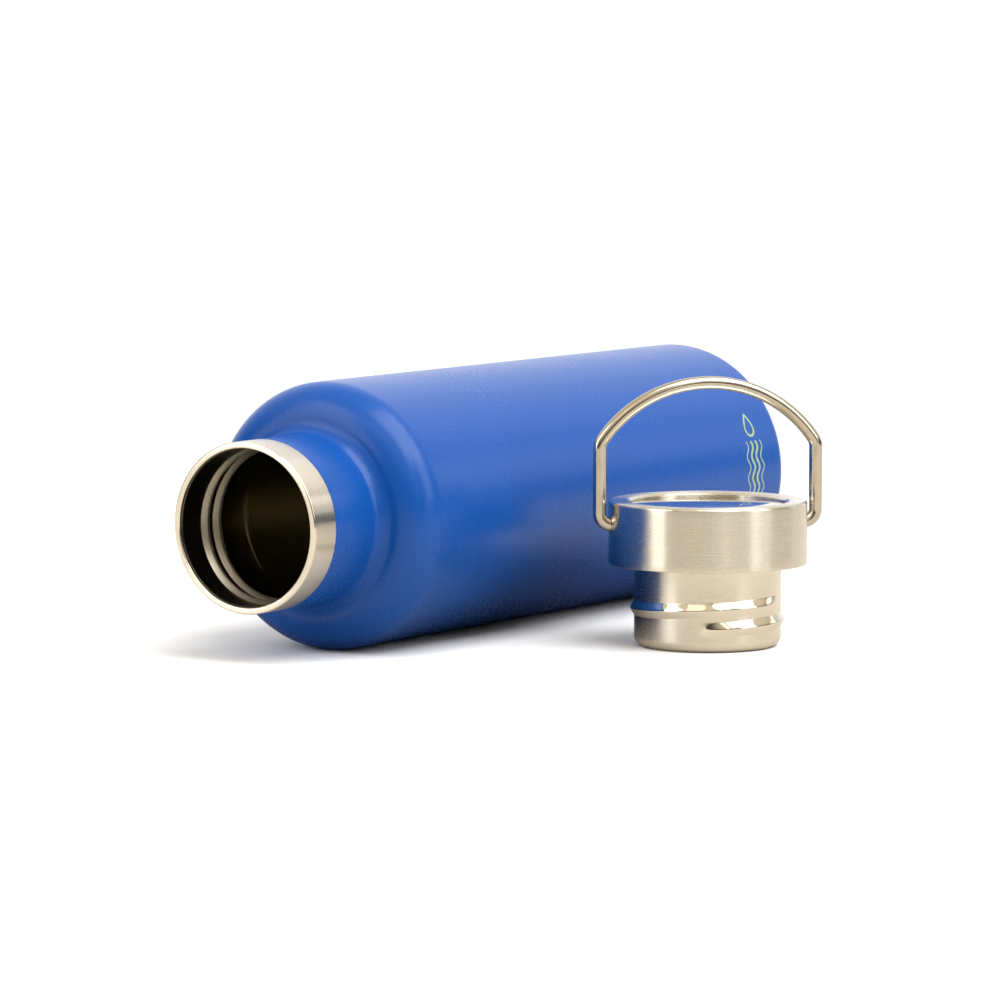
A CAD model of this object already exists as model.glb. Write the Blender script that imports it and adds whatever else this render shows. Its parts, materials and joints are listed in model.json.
"""Blue double-wall steel bottle and its loose screw cap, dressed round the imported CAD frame.

Everything is in metres, in the frame's own axes: +X runs along the lying bottle from its mouth to its
base, +Z is up, and the cap stands on the -Y side.
"""

import json
import math

import bmesh
import bpy
from mathutils import Matrix, Vector


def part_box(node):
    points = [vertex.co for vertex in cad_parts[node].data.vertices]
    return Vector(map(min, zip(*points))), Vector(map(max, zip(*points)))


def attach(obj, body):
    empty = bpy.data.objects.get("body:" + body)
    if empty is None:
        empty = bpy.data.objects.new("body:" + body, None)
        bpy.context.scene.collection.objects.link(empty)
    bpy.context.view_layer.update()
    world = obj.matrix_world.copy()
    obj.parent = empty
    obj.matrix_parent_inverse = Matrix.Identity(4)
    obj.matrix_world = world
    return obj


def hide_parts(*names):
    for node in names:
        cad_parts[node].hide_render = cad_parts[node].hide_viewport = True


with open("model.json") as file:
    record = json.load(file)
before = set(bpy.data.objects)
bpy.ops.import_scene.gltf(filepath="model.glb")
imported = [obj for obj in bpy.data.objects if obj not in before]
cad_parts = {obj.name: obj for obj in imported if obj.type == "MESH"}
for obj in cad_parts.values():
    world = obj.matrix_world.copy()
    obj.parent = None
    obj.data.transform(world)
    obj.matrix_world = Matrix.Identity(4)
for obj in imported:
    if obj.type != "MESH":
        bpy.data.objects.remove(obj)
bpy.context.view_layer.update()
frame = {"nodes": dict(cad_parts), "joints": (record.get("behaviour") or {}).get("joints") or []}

MM = 0.001


# ---- Sizes taken from the frame ------------------------------------------------------------------

def middle(node):
    low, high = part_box(node)
    return (low + high) / 2


def half_width(node):
    """Radius of a turned node, from its size along Y, where its facets are at their true radius."""
    low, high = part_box(node)
    return (high.y - low.y) / 2


shell_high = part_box("outer_shell")[1]
collar_low, collar_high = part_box("neck_collar")
lid_low, lid_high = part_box("lid_shell")
disc_low, disc_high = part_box("top_disc")
seal_low, seal_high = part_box("seal_ring")
plug_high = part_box("plug_cup")[1]
bottom_low, bottom_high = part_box("inner_bottom")
flask_low, flask_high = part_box("inner_flask")
cover_low, cover_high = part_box("base_cover")

MOUTH = Vector((collar_low.x, middle("outer_shell").y, middle("outer_shell").z))
CAP = Vector((middle("top_disc").x, middle("top_disc").y, 0.0))
LENGTH = shell_high.x - MOUTH.x
BODY_R = half_width("outer_shell")
NECK_R = half_width("neck_collar")
COLLAR = collar_high.x - MOUTH.x
SWING = next(j for j in frame["joints"] if j["name"] == "bail_swing")
PIVOT = SWING["pos_m"][2]
BAIL_TURN = math.atan2(SWING["axis"][1], SWING["axis"][0])

# The quarter turn about Y sends a turned piece's axis from +Z to +X.
BOTTLE_PLACE = Matrix.Translation(MOUTH) @ Matrix.Rotation(math.pi / 2, 4, "Y")
CAP_PLACE = Matrix.Translation(CAP)

# ---- Sizes that the frame's boxes don't give -----------------------------------------------------

COAT = 0.08 * MM
SHELL_WALL = 0.6 * MM
NECK_FILLET = 4.0 * MM
SHOULDER = 9.55 * MM
SHOULDER_END = 40.1 * MM
BASE_CORNER = 5.3 * MM
RIM_INNER = 29.6 * MM
COVER_RING = 16.6 * MM  # radius of the ring pressed into the base cover
LIP_BORE = 21.25 * MM
LIP = 0.8 * MM
NECK_BORE = 21.2 * MM
FLASK_WALL = 0.5 * MM
FLASK_NECK_END = 29.0 * MM
FLASK_FILLET = 4.0 * MM

PITCH = 5.3 * MM
RIDGE_WIDTH = 4.1 * MM
CREST = 0.15  # part of a ridge's half-width that is rounded on top, between its straight flanks
RUN_OUT = 36.0
NECK_WALL_END = 22.0 * MM  # inner end of the stretch of neck wall that is meshed for its thread
PLUG_WALL = (3.2 * MM, 15.6 * MM)  # and the plug's stretch
NECK_THREAD = {"height": 1.05 * MM, "at": 10.2 * MM, "from": 0.0, "turns": 1.55, "side": -1}
PLUG_THREAD = {"height": 1.05 * MM, "at": 6.75 * MM, "from": 238.0, "turns": 1.04, "side": 1}

LID_R = half_width("lid_shell")
LID_SHEET = 0.6 * MM
LID_EDGE = 0.8 * MM
RECESS_R = 21.35 * MM
PLUG_R = 20.05 * MM
PLUG_CORNER = 2.7 * MM
PLUG_SHEET = 0.5 * MM
WIRE = 1.78 * MM
BAIL_HALF = 30.2 * MM
BAIL_FOOT = 3.4 * MM
BAIL_KINK = 4.5 * MM
ARCH_R = 35.9 * MM
ARCH_CENTRE = 36.0 * MM
PIN_END = 20.0 * MM

ROUND = 256  # steps round a turned piece
THREAD_ROUND = 320  # steps round a threaded one


# ---- Profiles ------------------------------------------------------------------------------------

def arc(centre_r, centre_s, radius, start, end, pieces=12):
    """Points of an arc in the (radius, axial) plane, both ends included. Angles in degrees."""
    angles = [math.radians(start + (end - start) * i / pieces) for i in range(pieces + 1)]
    return [(centre_r + radius * math.cos(a), centre_s + radius * math.sin(a)) for a in angles]


def wall(radius, start, end, pieces):
    """Evenly spaced points on a straight wall, both ends included."""
    return [(radius, start + (end - start) * i / pieces) for i in range(pieces + 1)]


def smoothstep(x, low, high):
    t = min(max((x - low) / (high - low), 0.0), 1.0)
    return t * t * (3 - 2 * t)


def ridge(angle, s, spec):
    """Height, from 0 to 1, of a rolled thread's ridge at an angle (degrees) and an axial place."""
    last = spec["from"] + 360 * spec["turns"]
    height = 0.0
    a = angle - 360
    while a < last + RUN_OUT:
        away = abs(s - spec["at"] - PITCH * (a - spec["from"]) / 360) / RIDGE_WIDTH
        if away < 0.5:
            start = smoothstep(a, spec["from"] - RUN_OUT, spec["from"])
            end = 1 - smoothstep(a, last, last + RUN_OUT)
            crown = 1 - (math.hypot(2 * away, CREST) - CREST) / (math.hypot(1, CREST) - CREST)
            height = max(height, start * end * crown)
        a += 360
    return height


# ---- Mesh making ---------------------------------------------------------------------------------

def add_piece(name, verts, faces, material, body, replaces=(), crease=32.0, lifts=None):
    """A mesh piece in the row frame, smooth except at edges sharper than crease, on its body."""
    mesh = bpy.data.meshes.new(name)
    mesh.from_pydata(verts, [], faces)
    if lifts:
        mesh.attributes.new("ridge", "FLOAT", "POINT").data.foreach_set("value", lifts)
    grid = bmesh.new()
    grid.from_mesh(mesh)
    bmesh.ops.remove_doubles(grid, verts=grid.verts, dist=1e-8)
    bmesh.ops.recalc_face_normals(grid, faces=grid.faces)
    for face in grid.faces:
        face.smooth = True
    for edge in grid.edges:
        edge.smooth = len(edge.link_faces) == 2 and edge.calc_face_angle() < math.radians(crease)
    grid.to_mesh(mesh)
    grid.free()
    mesh.materials.append(material)
    piece = bpy.data.objects.new(name, mesh)
    bpy.context.scene.collection.objects.link(piece)
    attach(piece, body)
    if replaces:
        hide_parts(*replaces)
    return piece


def turned(profile, place, thread=None, thread_radius=0.0, steps=ROUND):
    """Turns a profile of (radius, axial) points round the axis and places it. Returns verts, faces.

    A profile that doesn't start on the axis closes on itself. With a thread, each point's part of
    the ridge's height comes back too.
    """
    on_axis = profile[0][0] < 1e-9
    verts, rings, lifts = [], [], []
    for r, s in profile:
        if r < 1e-9:
            rings.append([len(verts)])
            verts.append(place @ Vector((0.0, 0.0, s)))
            lifts.append(0.0)
            continue
        rings.append(list(range(len(verts), len(verts) + steps)))
        for i in range(steps):
            angle = 360.0 * i / steps
            height = 0.0
            if thread and abs(r - thread_radius) < 1e-7:
                height = ridge(angle, s, thread)
            lift = height * thread["side"] * thread["height"] if thread else 0.0
            lifts.append(height)
            a = math.radians(angle)
            verts.append(place @ Vector(((r + lift) * math.cos(a), (r + lift) * math.sin(a), s)))
    faces = []
    pairs = list(zip(rings, rings[1:]))
    if not on_axis:
        pairs.append((rings[-1], rings[0]))
    for a, b in pairs:
        for i in range(steps):
            j = (i + 1) % steps
            corners = [a[i % len(a)], a[j % len(a)], b[j % len(b)], b[i % len(b)]]
            faces.append(tuple(dict.fromkeys(corners)))
    return (verts, faces, lifts) if thread else (verts, faces)


def swept(points, radii, side, steps=28):
    """Sweeps a round section along points in a plane with normal side. Returns verts, faces."""
    verts, faces = [], []
    for k, point in enumerate(points):
        ahead = points[min(k + 1, len(points) - 1)] - points[max(k - 1, 0)]
        across = side.cross(ahead.normalized())
        for i in range(steps):
            a = 2 * math.pi * i / steps
            verts.append(point + (across * math.cos(a) + side * math.sin(a)) * radii[k])
    for k in range(len(points) - 1):
        for i in range(steps):
            j = (i + 1) % steps
            faces.append((k * steps + i, k * steps + j, (k + 1) * steps + j, (k + 1) * steps + i))
    faces.append(tuple(range(steps)))
    faces.append(tuple(range((len(points) - 1) * steps, len(points) * steps)))
    return verts, faces


# ---- Material nodes ------------------------------------------------------------------------------

class Shader:
    """A Principled material with short calls for the nodes that the finishes here are made of."""

    def __init__(self, name, color, roughness, metallic=0.0, **sockets):
        self.material = bpy.data.materials.new(name)
        self.material.use_nodes = True
        self.tree = self.material.node_tree
        self.bsdf = self.tree.nodes["Principled BSDF"]
        self.color = color
        self.bsdf.inputs["Base Color"].default_value = (*color, 1.0)
        self.bsdf.inputs["Roughness"].default_value = roughness
        self.bsdf.inputs["Metallic"].default_value = metallic
        for socket, value in sockets.items():
            self.bsdf.inputs[socket.replace("_", " ")].default_value = value
        self.coords = self.add("ShaderNodeTexCoord").outputs["Object"]

    def add(self, kind, **settings):
        node = self.tree.nodes.new(kind)
        for key, value in settings.items():
            setattr(node, key, value)
        return node

    def link(self, source, target):
        self.tree.links.new(source, target)

    def math(self, operation, a, b=0.0):
        node = self.add("ShaderNodeMath", operation=operation)
        for socket, value in zip(node.inputs, (a, b)):
            if isinstance(value, bpy.types.NodeSocket):
                self.link(value, socket)
            else:
                socket.default_value = value
        return node.outputs[0]

    def vector(self, x, y, z):
        node = self.add("ShaderNodeCombineXYZ")
        for socket, value in zip(node.inputs, (x, y, z)):
            if isinstance(value, bpy.types.NodeSocket):
                self.link(value, socket)
            else:
                socket.default_value = value
        return node.outputs[0]

    def noise(self, scale, detail=2.0, rough=0.5, vector=None):
        node = self.add("ShaderNodeTexNoise")
        node.inputs["Scale"].default_value = scale
        node.inputs["Detail"].default_value = detail
        node.inputs["Roughness"].default_value = rough
        self.link(vector or self.coords, node.inputs["Vector"])
        return node.outputs["Fac"]

    def remap(self, value, low, high, new_low, new_high):
        node = self.add("ShaderNodeMapRange")
        self.link(value, node.inputs["Value"])
        names = ("From Min", "From Max", "To Min", "To Max")
        for name, number in zip(names, (low, high, new_low, new_high)):
            node.inputs[name].default_value = number
        return node.outputs["Result"]

    def blend(self, factor, low, high):
        """Colour from low to high, each a colour or a socket, following factor."""
        node = self.add("ShaderNodeMix", data_type="RGBA")
        self.link(factor, node.inputs["Factor"])
        for socket, color in ((node.inputs[6], low), (node.inputs[7], high)):
            if isinstance(color, bpy.types.NodeSocket):
                self.link(color, socket)
            else:
                socket.default_value = (*color, 1.0)
        return node.outputs[2]

    def tint(self, value, dark, light):
        """Base colour between dark and light times the material's own colour, following value."""
        low, high = ([c * times for c in self.color] for times in (dark, light))
        shade = self.blend(value, low, high)
        self.link(shade, self.bsdf.inputs["Base Color"])
        return shade

    def rough(self, value, low, high):
        self.link(self.remap(value, 0.3, 0.7, low, high), self.bsdf.inputs["Roughness"])

    def bump(self, height, distance, before=None):
        node = self.add("ShaderNodeBump")
        node.inputs["Strength"].default_value = 1.0
        node.inputs["Distance"].default_value = distance
        self.link(height, node.inputs["Height"])
        if before:
            self.link(before, node.inputs["Normal"])
        return node.outputs["Normal"]

    def normal(self, normal):
        self.link(normal, self.bsdf.inputs["Normal"])


def ring_grain(shader, centre, axis, across, along):
    """Noise drawn out into fine lines that run round an axis through centre.

    The noise changes quickly with the distance along the axis and out from it, over across, and
    slowly round the axis, over along.
    """
    offset = shader.add("ShaderNodeVectorMath", operation="SUBTRACT")
    shader.link(shader.coords, offset.inputs[0])
    offset.inputs[1].default_value = centre
    parts = shader.add("ShaderNodeSeparateXYZ")
    shader.link(offset.outputs[0], parts.inputs[0])
    x, y, z = parts.outputs
    axial, p, q = (x, y, z) if axis == "X" else (z, x, y)
    squares = shader.math("ADD", shader.math("MULTIPLY", p, p), shader.math("MULTIPLY", q, q))
    radial = shader.math("SQRT", squares)
    fast = shader.math("MULTIPLY", shader.math("ADD", axial, radial), 1 / across)
    slow_p = shader.math("MULTIPLY", p, 1 / along)
    slow_q = shader.math("MULTIPLY", q, 1 / along)
    return shader.noise(1.0, detail=3.0, rough=0.6, vector=shader.vector(fast, slow_p, slow_q))


def ring_brushed(name, centre, axis, color, roughness, anisotropy, depth, contrast=1.0,
                 ridges=None, deep=None):
    """Steel brushed in fine lines round its axis.

    ridges gives the colour and roughness of rolled ridges, which rub bright on their crests. deep
    gives the colour of the steel beyond a thread, and the two X places between which it changes.
    """
    shader = Shader(name, color, roughness, 1.0, Anisotropic=anisotropy, Anisotropic_Rotation=0.25)
    tangent = shader.add("ShaderNodeTangent", direction_type="RADIAL", axis=axis)
    shader.link(tangent.outputs[0], shader.bsdf.inputs["Tangent"])
    fine = ring_grain(shader, centre, axis, 0.12 * MM, 14 * MM)
    coarse = ring_grain(shader, centre, axis, 0.55 * MM, 30 * MM)
    cloud = shader.noise(90.0, detail=3.0)
    streak = shader.math("MULTIPLY", shader.math("ADD", fine, coarse), 0.5)
    shade = shader.tint(streak, 1 - 0.20 * contrast, 1 + 0.16 * contrast)
    worn = shader.math("ADD", shader.math("MULTIPLY", fine, 0.6), shader.math("MULTIPLY", cloud, 0.4))
    worn = shader.remap(worn, 0.3, 0.7, roughness - 0.04, roughness + 0.05)
    if deep:
        parts = shader.add("ShaderNodeSeparateXYZ")
        shader.link(shader.coords, parts.inputs[0])
        inside = shader.remap(parts.outputs[0], deep[1], deep[2], 0.0, 1.0)
        shade = shader.blend(inside, shade, deep[0])
        shader.link(shade, shader.bsdf.inputs["Base Color"])
    if ridges:
        mark = shader.add("ShaderNodeAttribute", attribute_name="ridge").outputs["Fac"]
        crest = shader.remap(mark, 0.0, 0.08, 0.0, 1.0)
        shine = shader.add("ShaderNodeMix")
        shader.link(crest, shine.inputs["Factor"])
        shader.link(worn, shine.inputs[2])
        shine.inputs[3].default_value = ridges[1]
        worn = shine.outputs[0]
        shader.link(shader.blend(crest, shade, ridges[0]), shader.bsdf.inputs["Base Color"])
    shader.link(worn, shader.bsdf.inputs["Roughness"])
    shader.normal(shader.bump(fine, depth, shader.bump(coarse, depth * 2)))
    return shader.material


def polished(name, color, low, high, scratch=0.0):
    """Bright steel with faint clouding and hairline marks."""
    shader = Shader(name, color, low, 1.0)
    cloud = shader.noise(220.0, detail=4.0)
    shader.rough(cloud, low, high)
    shader.tint(shader.noise(60.0, detail=2.0), 0.95, 1.04)
    if scratch:
        hair = shader.noise(1600.0, detail=2.0)
        shader.normal(shader.bump(hair, scratch))
    return shader.material


def powder_coat():
    """Satin blue powder coat: fine orange peel, a little colour drift and faint speckle."""
    shader = Shader("blue_powder_coat", (0.005, 0.083, 0.41), 0.26, Specular_IOR_Level=0.32)
    peel = shader.noise(1500.0, detail=2.0, rough=0.55)
    swell = shader.noise(260.0, detail=2.0)
    drift = shader.noise(24.0, detail=2.0)
    speckle = shader.noise(5200.0, detail=1.0)
    shader.tint(shader.math("MULTIPLY", shader.math("ADD", drift, speckle), 0.5), 0.90, 1.10)
    shader.rough(shader.math("MULTIPLY", shader.math("ADD", peel, drift), 0.5), 0.23, 0.30)
    shader.normal(shader.bump(peel, 0.010 * MM, shader.bump(swell, 0.010 * MM)))
    return shader.material


def print_ink():
    shader = Shader("pale_print", (0.36, 0.50, 0.30), 0.45)
    shader.tint(shader.noise(900.0, detail=2.0), 0.86, 1.08)
    shader.rough(shader.noise(1800.0), 0.40, 0.52)
    shader.normal(shader.bump(shader.noise(1500.0), 0.01 * MM))
    return shader.material


def moulded(name, color, roughness, grain):
    """Moulded plastic, rubber or foam with a fine even grain of the given size."""
    shader = Shader(name, color, roughness)
    fine = shader.noise(1 / grain, detail=3.0)
    shader.tint(shader.noise(0.2 / grain, detail=2.0), 0.90, 1.08)
    shader.rough(fine, roughness - 0.06, roughness + 0.06)
    shader.normal(shader.bump(fine, grain * 0.06))
    return shader.material


def dull_metal(name, color, roughness):
    shader = Shader(name, color, roughness, 1.0)
    shader.tint(shader.noise(400.0, detail=4.0), 0.82, 1.12)
    shader.rough(shader.noise(900.0, detail=3.0), roughness - 0.08, roughness + 0.08)
    shader.normal(shader.bump(shader.noise(2600.0, detail=2.0), 0.008 * MM))
    return shader.material


STEEL = (0.78, 0.73, 0.64)
LID_STEEL = (0.73, 0.685, 0.60)
BRIGHT_STEEL = (0.84, 0.79, 0.70)
WARM_STEEL = (0.54, 0.495, 0.42)
DARK_STEEL = (0.22, 0.205, 0.16)
DEEP_STEEL = (0.57, 0.52, 0.40)
coat_look = powder_coat()
collar_look = ring_brushed("brushed_collar", MOUTH, "X", BRIGHT_STEEL, 0.22, 0.9, 0.0004 * MM, 0.7)
cover_look = ring_brushed("brushed_base", MOUTH, "X", STEEL, 0.30, 0.5, 0.0012 * MM)
lid_look = ring_brushed("brushed_lid", CAP, "Z", LID_STEEL, 0.26, 0.93, 0.00025 * MM, 0.4)
plug_look = ring_brushed("satin_plug", CAP, "Z", STEEL, 0.25, 0.6, 0.0001 * MM, 0.3, (STEEL, 0.07))
DEEP = (DEEP_STEEL, MOUTH.x + 20 * MM, MOUTH.x + 28 * MM)
flask_look = ring_brushed("flask_steel", MOUTH, "X", DARK_STEEL, 0.21, 0.3, 0.0002 * MM, 0.5,
                          (STEEL, 0.34), DEEP)
mirror_look = polished("mirror_disc", (0.78, 0.75, 0.70), 0.03, 0.07)
wire_look = polished("polished_wire", WARM_STEEL, 0.11, 0.21, 0.0002 * MM)
ink_look = print_ink()
plastic_look = moulded("core_plastic", (0.035, 0.036, 0.040), 0.55, 0.25 * MM)
silicone_look = moulded("seal_silicone", (0.62, 0.59, 0.53), 0.62, 0.20 * MM)
foam_look = moulded("plug_foam", (0.74, 0.69, 0.56), 0.90, 0.60 * MM)
copper_look = dull_metal("copper_wrap", (0.72, 0.36, 0.20), 0.28)
getter_look = dull_metal("getter_alloy", (0.11, 0.11, 0.12), 0.70)
solder_look = dull_metal("seal_solder", (0.33, 0.33, 0.34), 0.45)
hidden_steel_look = dull_metal("plain_steel", (0.48, 0.45, 0.40), 0.38)


# ---- Bottle --------------------------------------------------------------------------------------

def shell_outline(inset):
    """Outer shell's outline from the neck to the standing rim, moved in by inset."""
    shoulder_r = BODY_R - SHOULDER
    fillet_s = SHOULDER_END - SHOULDER - NECK_FILLET
    corner_r, corner_s = BODY_R - BASE_CORNER, LENGTH - BASE_CORNER
    outline = arc(NECK_R + NECK_FILLET, fillet_s, NECK_FILLET + inset, 180, 90, 20)
    outline += arc(shoulder_r, SHOULDER_END, SHOULDER - inset, -88, 0, 36)
    outline += wall(BODY_R - inset, SHOULDER_END, corner_s, 40)[1:-1]
    outline += arc(corner_r, corner_s, BASE_CORNER - inset, 0, 90, 20)
    return outline


def make_shell():
    """Blue skin over a plain steel sheet."""
    start = COLLAR + 0.06 * MM
    skin = [(NECK_R + 0.02 * MM, start + COAT), *shell_outline(-0.02 * MM), (RIM_INNER, LENGTH)]
    back = [(RIM_INNER, LENGTH - COAT), *reversed(shell_outline(COAT)), (NECK_R - COAT, start)]
    verts, faces = turned(skin + back, BOTTLE_PLACE)
    add_piece("shell_coat", verts, faces, coat_look, "bottle", ["outer_shell"])
    gap = 0.02 * MM
    outer = [(NECK_R - COAT - gap, start), *shell_outline(COAT + gap)]
    outer.append((RIM_INNER, LENGTH - COAT - gap))
    inner = [(RIM_INNER, LENGTH - SHELL_WALL), *reversed(shell_outline(SHELL_WALL)),
             (NECK_R - SHELL_WALL, start)]
    verts, faces = turned(outer + inner, BOTTLE_PLACE, steps=128)
    add_piece("shell_sheet", verts, faces, hidden_steel_look, "bottle")


def make_collar():
    """Bare steel band with a polished, rounded lip."""
    inner = NECK_R - SHELL_WALL
    outer_round, inner_round = 0.42 * MM, 0.34 * MM
    profile = [
        *arc(NECK_R - outer_round, outer_round, outer_round, -90, 0, 8),
        *wall(NECK_R, outer_round, COLLAR - 0.12 * MM, 12)[1:],
        (NECK_R - 0.12 * MM, COLLAR),
        (inner, COLLAR),
        (inner, LIP),
        (LIP_BORE, LIP),
        *arc(LIP_BORE + inner_round, inner_round, inner_round, 180, 270, 8),
    ]
    verts, faces = turned(profile, BOTTLE_PLACE)
    add_piece("mouth_collar", verts, faces, collar_look, "bottle", ["neck_collar"])


def make_flask():
    """Inner flask with the rolled thread in its neck, and its dished floor."""
    outer = NECK_BORE + FLASK_WALL
    body_bore = half_width("inner_flask") - FLASK_WALL
    arc_r = outer + FLASK_FILLET
    shoulder = body_bore + FLASK_WALL - arc_r
    shoulder_end = FLASK_NECK_END + FLASK_FILLET + shoulder
    start = flask_low.x - MOUTH.x
    end = flask_high.x - MOUTH.x
    profile = [
        (outer, start),
        *arc(arc_r, FLASK_NECK_END, FLASK_FILLET, 180, 90, 12),
        *arc(arc_r, shoulder_end, shoulder, -85, 0, 16),
        (body_bore + FLASK_WALL, end),
        (body_bore, end),
        *arc(arc_r, shoulder_end, shoulder - FLASK_WALL, 0, -85, 16),
        *arc(arc_r, FLASK_NECK_END, FLASK_FILLET + FLASK_WALL, 90, 180, 12),
        *wall(NECK_BORE, NECK_WALL_END, start + 0.1 * MM, 240),
        (NECK_BORE + 0.1 * MM, start),
    ]
    verts, faces, lifts = turned(profile, BOTTLE_PLACE, NECK_THREAD, NECK_BORE, THREAD_ROUND)
    add_piece("flask_wall", verts, faces, flask_look, "bottle", ["inner_flask"],
              lifts=lifts)

    sleeve = half_width("inner_bottom")
    corner = 8.0 * MM
    top, low = bottom_high.x - MOUTH.x, bottom_low.x - MOUTH.x
    centre_r, centre_s = sleeve - corner, top - corner
    profile = [
        (0.0, top - FLASK_WALL - 0.8 * MM),
        (12 * MM, top - FLASK_WALL - 0.6 * MM),
        *arc(centre_r, centre_s, corner - FLASK_WALL, 84, 0, 14),
        (sleeve - FLASK_WALL, low),
        (sleeve, low),
        *arc(centre_r, centre_s, corner, 0, 84, 14),
        (12 * MM, top - 0.1 * MM),
        (0.0, top - 0.3 * MM),
    ]
    verts, faces = turned(profile, BOTTLE_PLACE)
    add_piece("flask_floor", verts, faces, flask_look, "bottle", ["inner_bottom"])


def make_base_cover():
    """Spun cover in the base with a pressed ring and a shallow dish."""
    outer = half_width("base_cover")
    back, rim = cover_low.x - MOUTH.x, cover_high.x - MOUTH.x
    floor = back + SHELL_WALL
    profile = [
        (0.0, back),
        (outer, back),
        *arc(outer - 0.5 * MM, rim - 0.5 * MM, 0.5 * MM, 0, 90, 8),
        *arc(outer - 1.3 * MM, rim - 0.5 * MM, 0.5 * MM, 90, 150, 6),
        *arc(outer - 3.0 * MM, floor + 0.6 * MM, 0.6 * MM, -30, -90, 6),
        (COVER_RING + 0.8 * MM, floor),
        *arc(COVER_RING, floor + 0.1 * MM, 0.4 * MM, 60, 120, 6),
        (COVER_RING - 0.8 * MM, floor),
        (0.0, floor - 0.15 * MM),
    ]
    verts, faces = turned(profile, BOTTLE_PLACE)
    add_piece("base_disc", verts, faces, cover_look, "bottle", ["base_cover"])


# ---- Cap -----------------------------------------------------------------------------------------

def make_lid():
    """Brushed drum with a rolled top edge, a raised rim round the recess and two pivot holes."""
    inner = LID_R - LID_SHEET
    low, top = lid_low.z, lid_high.z
    seat = disc_low.z - 0.3 * MM
    across, down = 1.0 * MM, 0.6 * MM
    profile = [
        (inner, low + 0.15 * MM),
        (inner + 0.15 * MM, low),
        *arc(LID_R - 0.22 * MM, low + 0.22 * MM, 0.22 * MM, -90, 0, 5),
        *wall(LID_R, low + 0.22 * MM, top - LID_EDGE, 10)[1:-1],
        *arc(LID_R - LID_EDGE, top - LID_EDGE, LID_EDGE, 0, 90, 12),
        (RECESS_R + across + 0.1 * MM, top),
        (RECESS_R + across - 0.1 * MM, top - 0.03 * MM),
        (RECESS_R + 0.1 * MM, top - down + 0.06 * MM),
        (RECESS_R, top - down - 0.04 * MM),
        (RECESS_R, seat),
        (19.0 * MM, seat),
        (19.0 * MM, seat - LID_SHEET),
        (RECESS_R + LID_SHEET, seat - LID_SHEET),
        (RECESS_R + LID_SHEET, top - LID_SHEET),
        (inner - 0.4 * MM, top - LID_SHEET),
        (inner, top - LID_SHEET - 0.4 * MM),
    ]
    verts, faces = turned(profile, CAP_PLACE)
    lid = add_piece("lid_drum", verts, faces, lid_look, "cap", ["lid_shell"])
    drill_pivots(lid)


def drill_pivots(lid):
    """Cuts the two round pivot holes through the drum's wall."""
    bore, length = WIRE + 0.37 * MM, 8 * MM
    for side in (0.0, math.pi):
        mesh = bpy.data.meshes.new("drill")
        drill = bpy.data.objects.new("drill", mesh)
        bpy.context.scene.collection.objects.link(drill)
        tool = bmesh.new()
        bmesh.ops.create_cone(
            tool, cap_ends=True, segments=48, radius1=bore, radius2=bore, depth=length)
        tool.to_mesh(mesh)
        tool.free()
        out = Matrix.Rotation(BAIL_TURN + side, 4, "Z") @ Matrix.Translation((LID_R, 0, PIVOT))
        drill.matrix_world = CAP_PLACE @ out @ Matrix.Rotation(math.pi / 2, 4, "Y")
        cut = lid.modifiers.new("cut", "BOOLEAN")
        cut.operation, cut.solver, cut.object = "DIFFERENCE", "EXACT", drill
        bpy.context.view_layer.update()
        evaluated = lid.evaluated_get(bpy.context.evaluated_depsgraph_get())
        shape = bpy.data.meshes.new_from_object(evaluated)
        lid.modifiers.clear()
        lid.data = shape
        bpy.data.objects.remove(drill)


def make_disc():
    radius = half_width("top_disc")
    low, top = disc_low.z, disc_high.z
    edge = 0.22 * MM
    profile = [(0.0, low), (radius, low), *arc(radius - edge, top - edge, edge, 0, 90, 6), (0.0, top)]
    verts, faces = turned(profile, CAP_PLACE)
    add_piece("lid_mirror", verts, faces, mirror_look, "cap", ["top_disc"])


def make_plug():
    """Steel plug cup with its rolled thread and the flange inside the lid."""
    centre = PLUG_R - PLUG_CORNER
    flange_r = half_width("plug_cup")
    flange, top = plug_high.z - PLUG_SHEET, plug_high.z
    profile = [
        (0.0, 0.5 * MM),
        *arc(9.0 * MM, 0.25 * MM, 0.25 * MM, 90, 0, 4),
        *arc(9.6 * MM, 0.25 * MM, 0.25 * MM, 180, 270, 4),
        *arc(centre, PLUG_CORNER, PLUG_CORNER, -90, 0, 16),
        *wall(PLUG_R, *PLUG_WALL, 180),
        *arc(PLUG_R + 0.5 * MM, flange - 0.5 * MM, 0.5 * MM, 180, 90, 5),
        (flange_r, flange),
        (flange_r, top),
        (PLUG_R - PLUG_SHEET, top),
        *arc(centre, PLUG_CORNER, PLUG_CORNER - PLUG_SHEET, 0, -90, 8),
        (0.0, PLUG_SHEET + 0.5 * MM),
    ]
    verts, faces, lifts = turned(profile, CAP_PLACE, PLUG_THREAD, PLUG_R, THREAD_ROUND)
    add_piece("plug_shell", verts, faces, plug_look, "cap", ["plug_cup"], lifts=lifts)


def make_seal():
    """Silicone ring with two raised sealing lips on its underside."""
    bore, radius = 20.4 * MM, half_width("seal_ring")
    low, top = seal_low.z, seal_high.z
    lips = []
    for r in (22.0 * MM, 24.4 * MM):
        lips += arc(r, low + 0.35 * MM, 0.35 * MM, 180, 360, 8)
    profile = [
        (bore, low + 0.35 * MM),
        *lips,
        *arc(radius - 0.4 * MM, low + 0.75 * MM, 0.4 * MM, -90, 0, 5),
        *arc(radius - 0.2 * MM, top - 0.2 * MM, 0.2 * MM, 0, 90, 4),
        (bore, top),
    ]
    verts, faces = turned(profile, CAP_PLACE)
    add_piece("lid_seal", verts, faces, silicone_look, "seal", ["seal_ring"])


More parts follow.
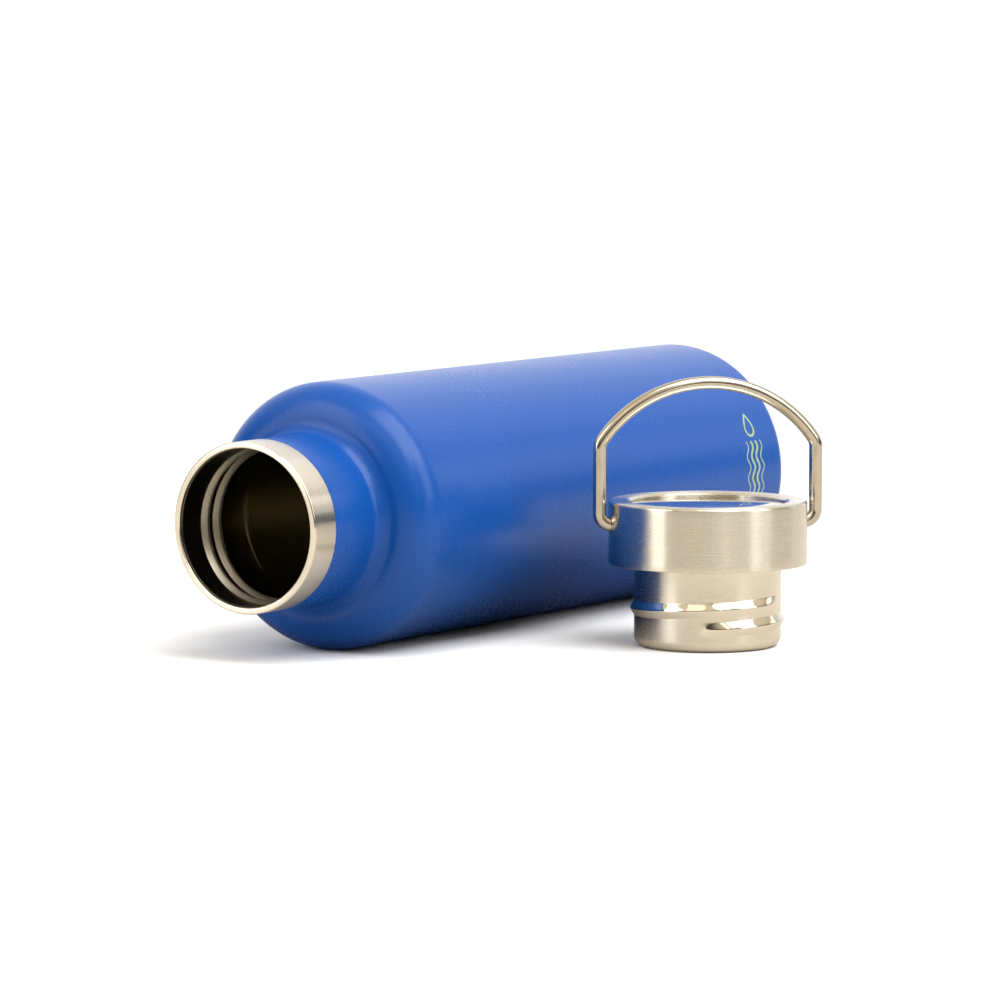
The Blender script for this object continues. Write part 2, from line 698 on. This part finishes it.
def bail_route():
    """Points of the handle's centreline in its own (x, z) plane, about 0.4 mm apart, and radii.

    The wire is a little flattened, so thinner in its plane, where it is bent sharply.
    """
    kink_x = BAIL_HALF - BAIL_KINK
    kink_z = ARCH_CENTRE + math.sqrt((ARCH_R - BAIL_KINK) ** 2 - kink_x ** 2)
    lean = math.degrees(math.atan2(kink_z - ARCH_CENTRE, kink_x))
    foot_x, foot_z = BAIL_HALF - BAIL_FOOT, PIVOT + BAIL_FOOT
    half = [(PIN_END + (foot_x - PIN_END) * i / 16, PIVOT) for i in range(16)]
    half += arc(foot_x, foot_z, BAIL_FOOT, -90, 0, 14)
    half += [(BAIL_HALF, foot_z + (kink_z - foot_z) * i / 36) for i in range(1, 36)]
    half += arc(kink_x, kink_z, BAIL_KINK, 0, lean, 8)
    half += arc(0.0, ARCH_CENTRE, ARCH_R, lean, 90, 80)[1:]
    return half + [(-x, z) for x, z in reversed(half[:-1])]


def make_handle():
    turn = Matrix.Rotation(BAIL_TURN, 4, "Z")
    points = [CAP + turn @ Vector((x, 0.0, z)) for x, z in bail_route()]
    radii = [WIRE] * len(points)
    for end in (0, -1):
        radii[end] = WIRE - 0.3 * MM
    verts, faces = swept(points, radii, turn @ Vector((0.0, 1.0, 0.0)))
    add_piece("wire_handle", verts, faces, wire_look, "handle", ["bail"], crease=50.0)


# ---- Printed mark --------------------------------------------------------------------------------

def on_body(u, s, lift):
    """A point on the coat: u is the distance round the body from its camera-side waist, up is +."""
    angle = u / BODY_R
    r = BODY_R + lift
    return Vector((MOUTH.x + s, MOUTH.y - r * math.cos(angle), MOUTH.z + r * math.sin(angle)))


def ribbon(points, width):
    """Verts and faces of a thin raised line of the given width that follows (u, s) points."""
    verts, faces = [], []
    for k, (u, s) in enumerate(points):
        u0, s0 = points[max(k - 1, 0)]
        u1, s1 = points[min(k + 1, len(points) - 1)]
        size = math.hypot(u1 - u0, s1 - s0)
        nu, ns = -(s1 - s0) / size * width / 2, (u1 - u0) / size * width / 2
        for lift in (0.02 * MM, 0.06 * MM):
            verts.append(on_body(u + nu, s + ns, lift))
            verts.append(on_body(u - nu, s - ns, lift))
    for k in range(len(points) - 1):
        a, b = 4 * k, 4 * k + 4
        for i, j in ((0, 1), (1, 3), (3, 2), (2, 0)):
            faces.append((a + i, a + j, b + j, b + i))
    last = 4 * (len(points) - 1)
    faces += [(0, 1, 3, 2), (last, last + 1, last + 3, last + 2)]
    return verts, faces


def make_mark():
    """A generic mark near the base: a drop above three wavy lines that run round the body."""
    centre, top = 206.7 * MM, 18.6 * MM
    drop = []
    for i in range(65):
        t = 2 * math.pi * i / 64
        side = 3.1 * MM * math.sin(t) * abs(math.sin(t / 2)) ** 1.3
        drop.append((top - 3.4 * MM + 3.4 * MM * math.cos(t), centre + side))
    strokes = [(drop, 0.75 * MM)]
    for lane, line in ((-3.9, 0.5), (-1.3, 0.9), (1.3, 0.9), (3.9, 0.5)):
        wave = []
        for i in range(161):
            swing = 0.75 * MM * math.sin(i / 160 * 11 * math.pi)
            wave.append((top - 8.4 * MM - 34 * MM * i / 160, centre + lane * MM + swing))
        strokes.append((wave, line * MM))
    verts, faces = [], []
    for stroke, width in strokes:
        more, sides = ribbon(stroke, width)
        faces += [tuple(i + len(verts) for i in side) for side in sides]
        verts += more
    add_piece("drop_mark", verts, faces, ink_look, "bottle")


# ---- Pieces that stay as CAD nodes ---------------------------------------------------------------

HIDDEN_LOOKS = {
    "copper_foil": copper_look,
    "outer_base": hidden_steel_look,
    "seal_bead": solder_look,
    "getter_pill": getter_look,
    "getter_clip": hidden_steel_look,
    "lid_core": plastic_look,
    "foam_insert": foam_look,
}


def dress_cad_nodes():
    for node, look in HIDDEN_LOOKS.items():
        materials = frame["nodes"][node].data.materials
        materials.clear()
        materials.append(look)


# ---- Stage ---------------------------------------------------------------------------------------

CAMERA_FROM_MOUTH = Vector((-1.07217, -0.77720, 0.17232))  # from the floor under the mouth plane
VIEW_TURN = math.radians(33.009)  # the view's direction over the floor, from +X towards +Y
VIEW_DROP = math.radians(5.541)
LENS = 181.06
AHEAD = Vector((math.cos(VIEW_TURN), math.sin(VIEW_TURN), 0.0))
RIGHT = Vector((math.sin(VIEW_TURN), -math.cos(VIEW_TURN), 0.0))
UP = Vector((0.0, 0.0, 1.0))

PANEL_AWAY = 1.6
WHITE = (1.0, 1.0, 1.0)
PANE = (1.0, 0.94, 0.84)
WARM = (1.0, 0.88, 0.64)
PANELS = [
    # name, turn, rise, width and height in degrees, radiance, colour
    ("overhead", 50, 64, 50, 42, 4.0, WHITE),
    ("right_window", 64, 29, 26, 34, 2.3, WHITE),
    ("right_strip", 54, 4, 12, 24, 0.8, WHITE),
    ("far_window", 117, 17, 14, 15, 0.9, WHITE),
    ("right_pane", 31, 44, 8, 18, 1.4, WHITE),
    ("middle_pane", 18, 34, 6, 40, 1.0, PANE),
    ("left_pane", -27, 46, 22, 16, 0.9, WARM),
    ("left_softbox", -65.5, 22, 26, 48, 2.4, WHITE),
]

CAMERA_SIDE = (0.82, 0.72, 0.54)
HORIZON = (0.06, 0.055, 0.045)
BEHIND = (1.15, 1.15, 1.15)
ROOM_RAMP = (0.08, 0.60)  # from HORIZON to CAMERA_SIDE, by the upward part of a direction
SKY_RAMP = (0.28, 0.95)  # from that room to BEHIND, by the part of it that points away from the camera

FLOOR_HALF = 14.0
FLOOR_SEEN = (0.97, 1.0, 1.05)
SWEEP = (1.1, 1.1, 1.1)
SWEEP_FADE = (0.20, 0.60)  # distances from the cap between which the floor gives way to the sweep
FLOOR_UNDER = (0.17, 0.17, 0.18)
FLOOR_ROUND = (0.64, 0.61, 0.56)
OVAL_CENTRE = (MOUTH.x + 125 * MM, MOUTH.y, 0.0)
OVAL = (80 * MM, 48 * MM, 1.0)  # half-lengths of the darker oval
FLOOR_FADE = (0.8, 1.5)  # parts of the oval's size between which it fades into FLOOR_ROUND


def make_camera():
    data = bpy.data.cameras.new("camera")
    data.lens, data.sensor_width = LENS, 36.0
    data.clip_start, data.clip_end = 0.05, 60.0
    camera = bpy.data.objects.new("camera", data)
    camera.location = Vector((MOUTH.x, MOUTH.y, 0.0)) + CAMERA_FROM_MOUTH
    looking = AHEAD * math.cos(VIEW_DROP) - UP * math.sin(VIEW_DROP)
    camera.rotation_mode = "QUATERNION"
    camera.rotation_quaternion = looking.to_track_quat("-Z", "Y")
    bpy.context.scene.collection.objects.link(camera)
    bpy.context.scene.camera = camera


def toward(turn, rise):
    """Unit direction from the object: turn is to the right of the camera, seen from the object."""
    t, e = math.radians(turn), math.radians(rise)
    flat = -AHEAD * math.cos(t) + RIGHT * math.sin(t)
    return flat * math.cos(e) + UP * math.sin(e)


def panel(name, turn, rise, distance, width, height, power, color=(1.0, 1.0, 1.0)):
    """A soft rectangular light that faces the object."""
    light = bpy.data.lights.new(name, "AREA")
    light.shape, light.size, light.size_y = "RECTANGLE", width, height
    light.energy, light.color = power, color
    lamp = bpy.data.objects.new(name, light)
    lamp.location = CAP + toward(turn, rise) * distance
    lamp.rotation_mode = "QUATERNION"
    lamp.rotation_quaternion = (-toward(turn, rise)).to_track_quat("-Z", "Y")
    bpy.context.scene.collection.objects.link(lamp)


def make_world():
    """Bright white behind the object, and on the camera's side a warmer room, dark low down."""
    world = bpy.data.worlds.new("studio")
    bpy.context.scene.world = world
    world.use_nodes = True
    tree = world.node_tree
    background = tree.nodes["Background"]
    direction = tree.nodes.new("ShaderNodeTexCoord").outputs["Generated"]
    room = world_ramp(tree, direction, UP, *ROOM_RAMP, HORIZON, CAMERA_SIDE)
    sky = world_ramp(tree, direction, AHEAD, *SKY_RAMP, room, BEHIND)
    tree.links.new(sky, background.inputs["Color"])
    background.inputs["Strength"].default_value = 1.0


def world_ramp(tree, direction, along, start, end, low, high):
    """Colour that goes from low to high as the direction turns towards along."""
    dot = tree.nodes.new("ShaderNodeVectorMath")
    dot.operation = "DOT_PRODUCT"
    dot.inputs[1].default_value = along
    tree.links.new(direction, dot.inputs[0])
    spread = tree.nodes.new("ShaderNodeMapRange")
    spread.interpolation_type = "SMOOTHSTEP"
    spread.inputs["From Min"].default_value = start
    spread.inputs["From Max"].default_value = end
    tree.links.new(dot.outputs["Value"], spread.inputs["Value"])
    mix = tree.nodes.new("ShaderNodeMix")
    mix.data_type = "RGBA"
    tree.links.new(spread.outputs["Result"], mix.inputs["Factor"])
    for socket, color in ((mix.inputs[6], low), (mix.inputs[7], high)):
        if isinstance(color, tuple):
            socket.default_value = (*color, 1.0)
        else:
            tree.links.new(color, socket)
    return mix.outputs[2]


def make_floor():
    """A pale floor. The camera sees the even white sweep of a product picture. The light that the
    floor throws back is that of a greyer sheet, darkest in an oval under the bottle.
    """
    mesh = bpy.data.meshes.new("pale_floor")
    corners = [(FLOOR_HALF * x, FLOOR_HALF * y, 0.0) for x, y in ((-1, -1), (1, -1), (1, 1), (-1, 1))]
    mesh.from_pydata(corners, [], [(0, 1, 2, 3)])
    shader = Shader("floor_white", FLOOR_SEEN, 1.0, Specular_IOR_Level=0.0)
    shader.tint(shader.noise(3.0), 0.99, 1.01)
    distance = shader.add("ShaderNodeVectorMath", operation="DISTANCE")
    shader.link(shader.coords, distance.inputs[0])
    distance.inputs[1].default_value = CAP
    offset = shader.add("ShaderNodeVectorMath", operation="SUBTRACT")
    shader.link(shader.coords, offset.inputs[0])
    offset.inputs[1].default_value = OVAL_CENTRE
    oval = shader.add("ShaderNodeVectorMath", operation="DIVIDE")
    shader.link(offset.outputs[0], oval.inputs[0])
    oval.inputs[1].default_value = OVAL
    reach = shader.add("ShaderNodeVectorMath", operation="LENGTH")
    shader.link(oval.outputs[0], reach.inputs[0])
    fade = shader.remap(reach.outputs["Value"], *FLOOR_FADE, 0.0, 1.0)
    thrown = shader.add("ShaderNodeBsdfDiffuse")
    shader.link(shader.blend(fade, FLOOR_UNDER, FLOOR_ROUND), thrown.inputs["Color"])
    sweep = shader.add("ShaderNodeEmission")
    sweep.inputs["Color"].default_value = (*SWEEP, 1.0)
    seen = shader.add("ShaderNodeMixShader")
    shader.link(shader.remap(distance.outputs["Value"], *SWEEP_FADE, 0.0, 1.0), seen.inputs["Fac"])
    shader.link(shader.bsdf.outputs[0], seen.inputs[1])
    shader.link(sweep.outputs[0], seen.inputs[2])
    path = shader.add("ShaderNodeLightPath")
    mix = shader.add("ShaderNodeMixShader")
    shader.link(path.outputs["Is Camera Ray"], mix.inputs["Fac"])
    shader.link(thrown.outputs[0], mix.inputs[1])
    shader.link(seen.outputs[0], mix.inputs[2])
    output = shader.tree.nodes["Material Output"]
    shader.link(mix.outputs[0], output.inputs["Surface"])
    mesh.materials.append(shader.material)
    floor = bpy.data.objects.new("pale_floor", mesh)
    bpy.context.scene.collection.objects.link(floor)


def make_lights():
    for name, turn, rise, across, along, radiance, color in PANELS:
        wide = 2 * PANEL_AWAY * math.tan(math.radians(across / 2))
        tall = 2 * PANEL_AWAY * math.tan(math.radians(along / 2))
        panel(name, turn, rise, PANEL_AWAY, wide, tall, radiance * math.pi * wide * tall, color)


make_camera()
make_shell()
make_collar()
make_flask()
make_base_cover()
make_lid()
make_disc()
make_plug()
make_seal()
make_handle()
make_mark()
dress_cad_nodes()
make_world()
make_floor()
make_lights()
bpy.context.scene.view_settings.view_transform = "Standard"
